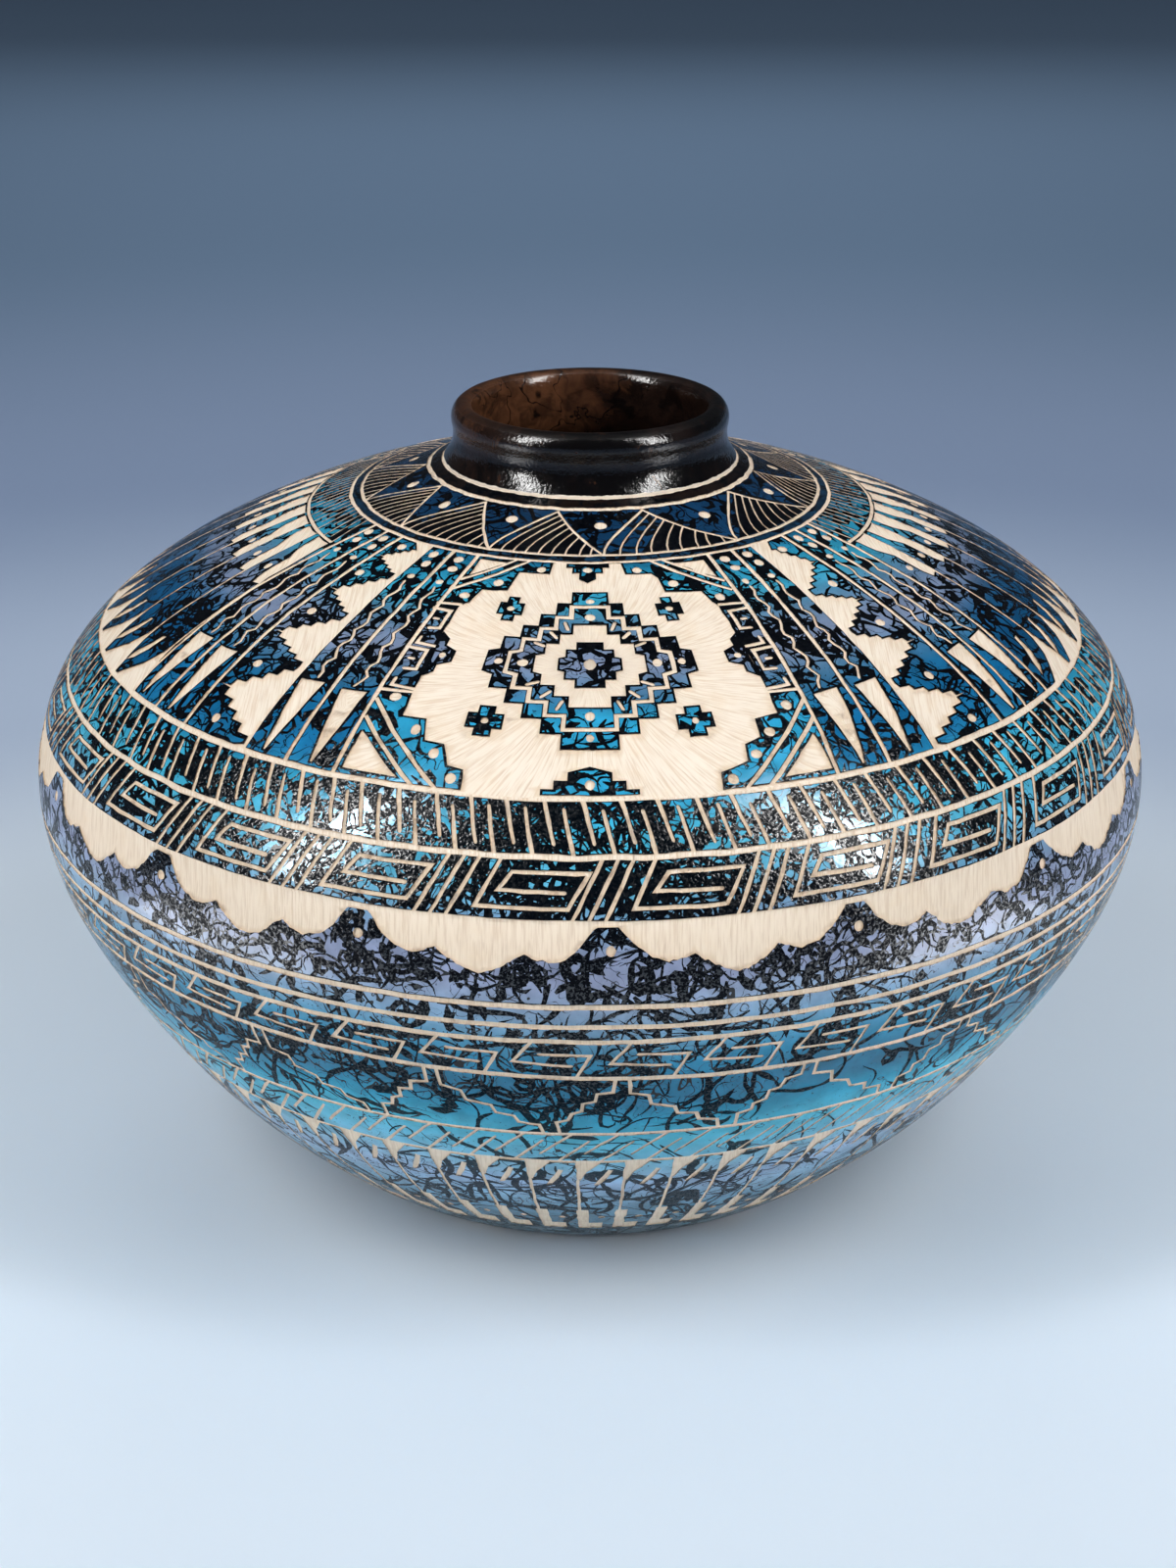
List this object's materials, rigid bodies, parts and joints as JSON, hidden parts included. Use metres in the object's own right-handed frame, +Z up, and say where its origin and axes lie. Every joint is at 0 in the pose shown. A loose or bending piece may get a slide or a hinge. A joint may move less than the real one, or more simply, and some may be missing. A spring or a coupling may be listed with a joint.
{
  "type": "ceramic jar",
  "caption": "Wide low ceramic jar with a short upright neck, carved and painted in bands, with a smoke-marked horsehair finish.",
  "frame": {"origin": "centre of the foot, on the surface that the jar stands on", "axes": "+Z up the jar's axis, through the neck; -Y towards the side that the picture shows"},
  "size_m": [0.254, 0.254, 0.1775],
  "materials": {
    "lower_skin": "turquoise to lavender colour under a burnished gloss, with black horsehair marks and lines carved down to the pale clay",
    "shoulder_skin": "turquoise, lavender and deep blue colour under a burnished gloss, with black horsehair marks and fields carved down to the pale clay",
    "burnished_neck": "stone-burnished black-brown smoked clay, glossy",
    "carved_clay": "matte pale clay where the skin is carved away"
  },
  "bodies": {
    "root": {"lower_bowl": "lower_skin", "shoulder_shell": "shoulder_skin", "neck_collar": "burnished_neck"}
  },
  "joints": []
}
